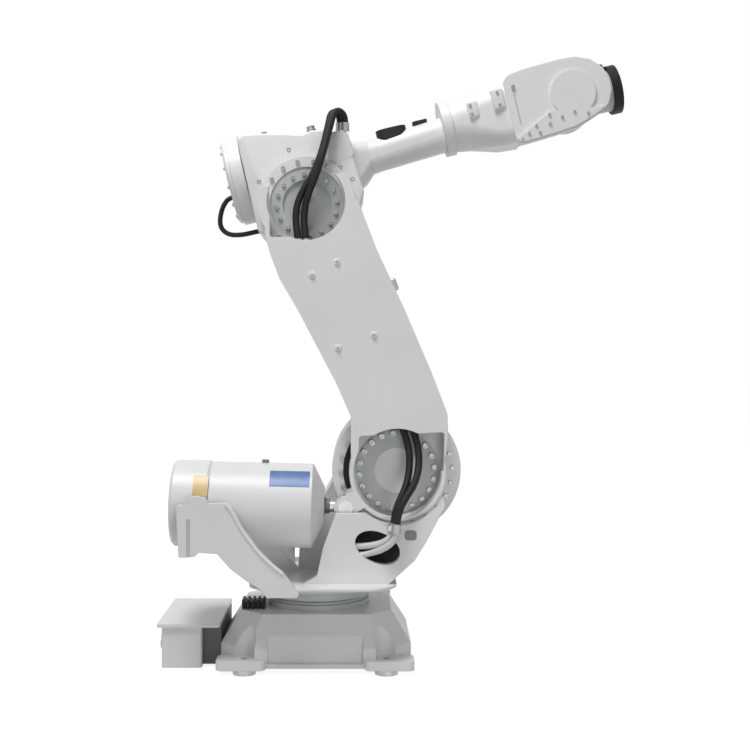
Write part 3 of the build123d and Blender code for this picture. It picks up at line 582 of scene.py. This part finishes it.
drumFace = {"along": -289.3, "above": 185, "circle": 0.150, "count": 12, "radius": 0.008, "firstTurn": 0.26}
drumCentre = onForearm(drumFace["along"], drumFace["above"], 0)
places = circlePlaces(drumCentre, -forearmAlong, drumFace["circle"], drumFace["count"], drumFace["firstTurn"])
screwsAt("drumScrews", places, -forearmAlong, drumFace["radius"], "upper_arm")

# Motors: screws in the flange and the end cap, and a round plug on the cap
motorDetails = {"plug": [(0.0, 0.0), (0.026, 0.0), (0.026, 0.005), (0.021, 0.007), (0.021, 0.020),
                         (0.018, 0.023), (0.013, 0.023), (0.013, 0.017), (0.0, 0.017)],
                "screw": 0.0075, "flangeCount": 8, "endCount": 4, "turnMotorCircle": 0.086}
motors = {
    "shoulderMotor": {"node": "shoulder_motor", "body": "frame", "centre": shoulder, "upHint": upward,
                      "flange": 0.107, "flangeFace": 0.278, "end": 0.101},
    "elbowMotor": {"node": "elbow_motor", "body": "upper_arm", "centre": elbow, "upHint": forearmUp,
                   "flange": 0.100, "flangeFace": 0.180, "end": 0.094},
}
for name, motor in motors.items():
    endCentre = Vector((motor["centre"].x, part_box(motor["node"])[1].y, motor["centre"].z))
    flangeCentre = Vector((motor["centre"].x, motor["flangeFace"], motor["centre"].z))
    count = motorDetails["flangeCount"]
    places = circlePlaces(flangeCentre, farSide, motor["flange"], count, pi / count, motor["upHint"])
    screwsAt(name + "FlangeScrews", places, farSide, motorDetails["screw"], motor["body"])
    count = motorDetails["endCount"]
    places = circlePlaces(endCentre, farSide, motor["end"], count, pi / count, motor["upHint"])
    screwsAt(name + "EndScrews", places, farSide, motorDetails["screw"], motor["body"])
    turnedAt(name + "Plug", motorDetails["plug"], [endCentre], farSide, motor["body"], "dark_grey",
             look="blackPlastic")
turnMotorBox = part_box("turn_motor")
turnMotorTop = Vector((*(turnMotorBox[0] + turnMotorBox[1]).xy / 2, turnMotorBox[1].z))
count = motorDetails["endCount"]
places = circlePlaces(turnMotorTop, upward, motorDetails["turnMotorCircle"], count, pi / count, nearSide)
screwsAt("turnMotorScrews", places, upward, motorDetails["screw"], "frame")
turnedAt("turnMotorPlug", motorDetails["plug"], [turnMotorTop], upward, "frame", "dark_grey",
         look="blackPlastic")

# Low bosses on the near side of the lower arm, each with its screw, at X and Z in millimetres
bosses = {"places": [(-12.6, 1549.0), (84.5, 1599.6), (88.4, 1265.7), (228.0, 1316.0)],
          "profile": [(0.0, 0.0), (0.014, 0.0), (0.013, 0.003), (0.011, 0.004), (0.0, 0.004)], "screw": 0.006}
armFace = nearFace("lower_arm")
bossPlaces = [Vector((x * millimetre, armFace, z * millimetre)) for x, z in bosses["places"]]
turnedAt("armBosses", bosses["profile"], bossPlaces, nearSide, "lower_arm", "white_paint")
screwTops = [place + nearSide * bosses["profile"][-1][1] for place in bossPlaces]
screwsAt("bossScrews", screwTops, nearSide, bosses["screw"], "lower_arm")
print("screws made")


# Elbow casting: the outline of the solid, with its raised back and soft rims. Outlines and corners are
# in millimetres along and above the forearm.
elbowShape = {
    "near": -0.182, "far": 0.140, "corner": 22.0, "rim": 0.009, "step": 0.001,
    "round": 186.0, "roundSides": 96,
    "outline": [
        (-215, -64), (-215, 318), (-185, 334), (-110, 320), (-21, 299), (40, 280), (84, 288), (124, 280),
        (170, 248), (220, 210), (230, 50), (234, 0), (200, -60), (140, -120), (-120, -120),
    ],
    "tower": [(124, 140), (124, 240), (142, 262), (214, 262), (224, 240), (232, 140)],
    "towerFar": -0.072,
}


def elbowCasting():
    # the block, the tower that carries the hoses and the round of the joint; the steps keep their faces apart
    turn = facing(elbow + Vector((0, elbowShape["far"], 0)), nearSide, forearmUp)
    depth = elbowShape["far"] - elbowShape["near"]
    parts = [(elbowShape["outline"], elbowShape["corner"], 0.0, depth)]
    towerStart = elbowShape["far"] - elbowShape["towerFar"]
    parts.append((elbowShape["tower"], elbowShape["corner"], towerStart, depth + elbowShape["step"]))
    turns = [2 * pi * side / elbowShape["roundSides"] for side in range(elbowShape["roundSides"])]
    circle = arc(elbowShape["round"], turns)
    parts.append((circle, 0.0, elbowShape["step"], depth - elbowShape["step"]))
    whole = bmesh.new()
    for outline, corner, start, end in parts:
        rounded = cornersRounded(outline, corner) if corner else [Vector(p) for p in outline]
        bm = prismMesh([p * millimetre for p in rounded], end - start, elbowShape["rim"])
        bmesh.ops.translate(bm, vec=(0, 0, start), verts=bm.verts)
        shape = bpy.data.meshes.new("elbowPart")
        bmesh.ops.transform(bm, matrix=turn, verts=bm.verts)
        bmesh.ops.recalc_face_normals(bm, faces=bm.faces)
        bm.to_mesh(shape)
        bm.free()
        whole.from_mesh(shape)
        bpy.data.meshes.remove(shape)
    return whole


casting = finishPiece("elbowCasting", elbowCasting(), "upper_arm", "white_paint")
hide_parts("elbow_casting")
print("elbow made")


# Small fittings: the elbow's plugs, the stop on the wrist and the gland of the balancer's rod
fittings = {
    "elbowPlug": {"profile": [(0.0, 0.0), (0.02, 0.0), (0.02, 0.004), (0.017, 0.006), (0.017, 0.018),
                              (0.014, 0.021), (0.0, 0.021)],
                  "place": onForearm(84, 289, -0.150), "outward": forearmUp, "body": "upper_arm",
                  "slot": "connector_metal"},
    "elbowPlugLow": {"profile": [(0.0, 0.0), (0.012, 0.0), (0.012, 0.009), (0.009, 0.011), (0.0, 0.011)],
                     "place": onForearm(-104, 318, -0.150), "outward": forearmUp, "body": "upper_arm",
                     "slot": "connector_metal"},
}
for name, fitting in fittings.items():
    turnedAt(name, fitting["profile"], [fitting["place"]], fitting["outward"], fitting["body"],
             fitting["slot"])
wristStop = {"size": (0.052, 0.032, 0.030), "rim": 0.008, "along": 1303, "above": 282}
stopPlace = onForearm(wristStop["along"], wristStop["above"], 0)
blockAt("wristStop", wristStop["size"], wristStop["rim"], stopPlace, forearmUp, "tilt_head", "disc_black",
        upHint=forearmAlong, look="nearBlackAndPaintedShadeEnamel")

balancer = {"reach": 0.245, "earTurn": 214.0, "side": -0.247, "glandPlace": 0.480,
            "gland": [(0.0, 0.0), (0.034, 0.0), (0.034, 0.004), (0.029, 0.006), (0.029, 0.019),
                      (0.025, 0.022), (0.0, 0.022)]}
pivot = jointPlace("balancer_swing")
ear = Vector((cos(radians(balancer["earTurn"])), 0, sin(radians(balancer["earTurn"])))) * balancer["reach"]
rodAlong = Vector((shoulder.x, 0, shoulder.z)) + ear - Vector((pivot.x, 0, pivot.z))
rodAlong.normalize()
cylinderAxis = Vector((pivot.x, balancer["side"], pivot.z))
glandPlace = cylinderAxis + rodAlong * balancer["glandPlace"]
turnedAt("rodGland", balancer["gland"], [glandPlace], rodAlong, "balancer", "dark_grey")

# Plain plates bent round the balancer, from one turn above the near side to another
plates = {
    "bluePlate": {"start": 0.270, "end": 0.424, "low": 32.0, "high": 59.0, "radius": 0.165},
    "yellowPlate": {"start": -0.020, "end": 0.038, "low": 16.0, "high": 45.0, "radius": 0.169},
}
plateShape = {"thickness": 0.0012, "sink": 0.0004, "steps": 16}
for name, plate in plates.items():
    turns = turnsBetween(plate["low"], plate["high"], plateShape["steps"])
    inner = arc(plate["radius"] - plateShape["sink"], turns)
    outer = arc(plate["radius"] + plateShape["thickness"], turns)
    bm = prismMesh(inner + outer[::-1], plate["end"] - plate["start"], 0.0)
    bmesh.ops.translate(bm, vec=(0, 0, plate["start"]), verts=bm.verts)
    across = Matrix((nearSide, nearSide.cross(rodAlong), rodAlong)).transposed().to_4x4()
    bmesh.ops.transform(bm, matrix=Matrix.Translation(cylinderAxis) @ across, verts=bm.verts)
    finishPiece(name, bm, "balancer", "white_paint", look=name)
print("fittings and plates made")

# Metal bends that lead the low hoses into the hole in the wall, with routes in millimetres
bendRoutes = {
    "bendInner": {
        "radius": 0.0125,
        "points": [(303, -377, 600), (303, -377, 578), (300, -376, 552), (280, -366, 530),
                   (252, -345, 512), (212, -334, 503), (172, -333, 500), (140, -333, 500)],
    },
    "bendOuter": {
        "radius": 0.0125,
        "points": [(313, -402, 600), (313, -402, 572), (308, -399, 540), (284, -386, 512),
                   (254, -360, 490), (220, -336, 476), (190, -333, 468), (160, -333, 464)],
    },
}
for name, bend in bendRoutes.items():
    places = [Vector(p) * millimetre for p in bend["points"]]
    mesh = hoseMesh(name, places, bend["radius"])[0]
    finishMesh(name, mesh, "frame", "connector_metal", look="motorEnamel")

# Raised rim along the sloping edge of the near cradle wing, through X and Z in millimetres
wingRim = {"radius": 0.008, "depth": -0.447,
           "points": [(-118, 413), (-160, 444), (-216, 499), (-277, 583), (-317, 662), (-334, 674)]}
rimPlaces = [Vector((x * millimetre, wingRim["depth"], z * millimetre)) for x, z in wingRim["points"]]
mesh = hoseMesh("wingRim", rimPlaces, wingRim["radius"])[0]
finishMesh("wingRim", mesh, "frame", "white_paint")
print("bends and wing rim made")

# Raised blocks on the near side of the wrist housing, seated on its surface. Their centres are in
# millimetres along and above the forearm.
wristBlocks = {
    "wristBlockRear": {"centre": (742, 232), "size": (0.044, 0.066, 0.036), "sink": 0.026,
                       "screws": [(-0.010, 0.018), (-0.010, -0.018)]},
    "wristBlockFront": {"centre": (846, 246), "size": (0.050, 0.082, 0.036), "sink": 0.024,
                        "screws": [(0.0, 0.026), (0.0, -0.026)]},
}
blockDetails = {"rim": 0.006, "screw": 0.006, "screwSink": 0.0005, "lookFrom": -1.0}
bpy.context.view_layer.update()
for name, block in wristBlocks.items():
    along, above = block["centre"]
    start = onForearm(along, above, blockDetails["lookFrom"])
    surface = nodes["wrist_housing"].ray_cast(start, -nearSide)[1]
    foot = Vector((start.x, surface.y + block["sink"], start.z))
    blockAt(name, block["size"], blockDetails["rim"], foot, nearSide, "wrist", "white_paint",
            upHint=forearmUp)
    top = foot + nearSide * (block["size"][2] - blockDetails["screwSink"])
    places = [top + forearmAlong * a + forearmUp * b for a, b in block["screws"]]
    screwsAt(name + "Screws", places, nearSide, blockDetails["screw"], "wrist")
print("wrist blocks made")

# A near-black strip on the near face of the gear housing, beside the lower arm: painted shade for the shadowed gap
# between the arm and the housing
shadeStripShape = {"inner": 0.190, "outer": 0.212, "first": 140.0, "last": 201.0, "steps": 24, "thickness": 0.0016}
turns = turnsBetween(shadeStripShape["first"], shadeStripShape["last"], shadeStripShape["steps"])
outline = arc(shadeStripShape["outer"], turns) + arc(shadeStripShape["inner"], turns[::-1])
bm = prismMesh(outline, shadeStripShape["thickness"], 0.0)
shadeStripPlace = Vector((shoulder.x, nearFace("shoulder_housing"), shoulder.z))
bmesh.ops.transform(bm, matrix=facing(shadeStripPlace, nearSide), verts=bm.verts)
finishPiece("housingShadeStrip", bm, "frame", "dark_grey", smooth=False, look="discEnamel")

# Sheets painted where shade falls, in millimetres: at the back of the cable hole, painted shade that also stands
# for the black hose coiled in it; on the wing, a grey strip of painted shade for a slit; and on the wall, a dark
# patch of painted shade for a recess
paintedShadeSheets = {
    # painted shade for the depth of the cable hole, also standing for the black hose coiled in it
    "holeShadeAndHose": {"centre": (241, -157, 497), "size": (262, 190), "corner": 90.0, "look": "discEnamel"},
    # a grey strip of painted shade for the slit between the two prongs of the wing's foot
    "wingSlitShade": {"centre": (-474, -449, 550), "size": (14, 143), "corner": 6.0, "look": "greyEnamel"},
    # a dark patch of painted shade for a small recess in the wall's near face
    "wallRecessShade": {"centre": (368, -352, 545), "size": (46, 38), "corner": 14.0, "look": "darkEnamel"},
}
shadeSheetThickness = 0.0012
for name, inset in paintedShadeSheets.items():
    halfWidth, halfHeight = inset["size"][0] / 2, inset["size"][1] / 2
    corners = [(-halfWidth, -halfHeight), (halfWidth, -halfHeight),
               (halfWidth, halfHeight), (-halfWidth, halfHeight)]
    rounded = [p * millimetre for p in cornersRounded(corners, inset["corner"])]
    bm = prismMesh(rounded, shadeSheetThickness, 0.0)
    place = Vector(inset["centre"]) * millimetre
    bmesh.ops.transform(bm, matrix=facing(place, nearSide), verts=bm.verts)
    finishPiece(name, bm, "frame", "dark_grey", smooth=False, look=inset["look"])

# A lifting lug on the front edge of the lower arm
liftingLug = {"size": (0.030, 0.050, 0.030), "rim": 0.008, "place": (0.291, -0.275, 1.508)}
lugOutward = armAcross if armAcross.x > 0 else -armAcross
blockAt("liftingLug", liftingLug["size"], liftingLug["rim"], Vector(liftingLug["place"]), lugOutward,
        "lower_arm", "connector_metal", upHint=armAlong)
print("slot, insets and lug made")


# Studio: a pale floor that keeps the shadow, white surroundings and soft lamps
studio = {"floorColour": (0.6, 0.6, 0.6), "floorShade": (0.5, 0.5, 0.5), "floorGlow": 0.88,
          "floorSize": 60, "worldLight": 0.24, "lampAim": (0.2, 0, 1.1),
          "keyPlace": (-1.3, -2.4, 7.0), "keySize": 2.4, "keyPower": 325.0,
          "fillPlace": (1.1, -3.1, 0.15), "fillSize": 0.9, "fillPower": 16.0}


def backgroundRays(tree):
    # 1 for the rays that should meet the white background: the camera's own, mirrored and transmitted ones
    rays = addNode(tree, "ShaderNodeLightPath")
    first = addNode(tree, "ShaderNodeMath", operation="ADD", use_clamp=True)
    both = addNode(tree, "ShaderNodeMath", operation="ADD", use_clamp=True)
    tree.links.new(rays.outputs["Is Camera Ray"], first.inputs[0])
    tree.links.new(rays.outputs["Is Glossy Ray"], first.inputs[1])
    tree.links.new(first.outputs[0], both.inputs[0])
    tree.links.new(rays.outputs["Is Transmission Ray"], both.inputs[1])
    return both.outputs[0]


def whiteWorld():
    world = bpy.data.worlds.new("studioWorld")
    bpy.context.scene.world = world
    world.use_nodes = True
    tree = world.node_tree
    tree.nodes.clear()
    output = addNode(tree, "ShaderNodeOutputWorld")
    light = addNode(tree, "ShaderNodeBackground")
    light.inputs["Strength"].default_value = studio["worldLight"]
    white = addNode(tree, "ShaderNodeBackground")
    light.inputs["Color"].default_value = (1, 1, 1, 1)
    white.inputs["Color"].default_value = (1, 1, 1, 1)
    mix = addNode(tree, "ShaderNodeMixShader")
    tree.links.new(backgroundRays(tree), mix.inputs[0])
    tree.links.new(light.outputs[0], mix.inputs[1])
    tree.links.new(white.outputs[0], mix.inputs[2])
    tree.links.new(mix.outputs[0], output.inputs["Surface"])


def paleFloor():
    # a plain floor that is lit, and keeps the shadow, but meets the white background in the camera's view
    bm = bmesh.new()
    bmesh.ops.create_grid(bm, x_segments=1, y_segments=1, size=studio["floorSize"])
    mesh = bpy.data.meshes.new("studioFloor")
    bm.to_mesh(mesh)
    bm.free()
    floor = bpy.data.objects.new("studioFloor", mesh)
    bpy.context.scene.collection.objects.link(floor)
    material = bpy.data.materials.new("studioFloor")
    material.use_nodes = True
    tree = material.node_tree
    tree.nodes.clear()
    output = addNode(tree, "ShaderNodeOutputMaterial")
    bouncing = addNode(tree, "ShaderNodeBsdfDiffuse")
    bouncing.inputs["Color"].default_value = (*studio["floorColour"], 1)
    seen = addNode(tree, "ShaderNodeBsdfDiffuse")
    seen.inputs["Color"].default_value = (*studio["floorShade"], 1)
    glow = addNode(tree, "ShaderNodeEmission")
    glow.inputs["Strength"].default_value = studio["floorGlow"]
    both = addNode(tree, "ShaderNodeAddShader")
    mix = addNode(tree, "ShaderNodeMixShader")
    tree.links.new(seen.outputs[0], both.inputs[0])
    tree.links.new(glow.outputs[0], both.inputs[1])
    tree.links.new(backgroundRays(tree), mix.inputs[0])
    tree.links.new(bouncing.outputs[0], mix.inputs[1])
    tree.links.new(both.outputs[0], mix.inputs[2])
    tree.links.new(mix.outputs[0], output.inputs["Surface"])
    mesh.materials.append(material)


def softLamp(name, place, size, power):
    lamp = bpy.data.lights.new(name, "AREA")
    lamp.size = size
    lamp.energy = power
    holder = bpy.data.objects.new(name, lamp)
    bpy.context.scene.collection.objects.link(holder)
    holder.location = place
    towards = Vector(studio["lampAim"]) - Vector(place)
    holder.rotation_euler = towards.to_track_quat("-Z", "Y").to_euler()


whiteWorld()
paleFloor()
softLamp("keyLamp", studio["keyPlace"], studio["keySize"], studio["keyPower"])
softLamp("fillLamp", studio["fillPlace"], studio["fillSize"], studio["fillPower"])

# Camera at the photograph's place: level, in front of the near side
cameraView = {"place": (0.135, -4.8, 1.2307), "lens": 55.536, "sensor": 36.0, "shift": (0.0333, -0.024)}
camera = bpy.data.cameras.new("photoCamera")
camera.lens = cameraView["lens"]
camera.sensor_width = cameraView["sensor"]
camera.shift_x, camera.shift_y = cameraView["shift"]
cameraHolder = bpy.data.objects.new("photoCamera", camera)
bpy.context.scene.collection.objects.link(cameraHolder)
cameraHolder.location = cameraView["place"]
cameraHolder.rotation_euler = (radians(90), 0, 0)
bpy.context.scene.camera = cameraHolder
bpy.context.scene.view_settings.view_transform = "Standard"
print("studio and camera ready")
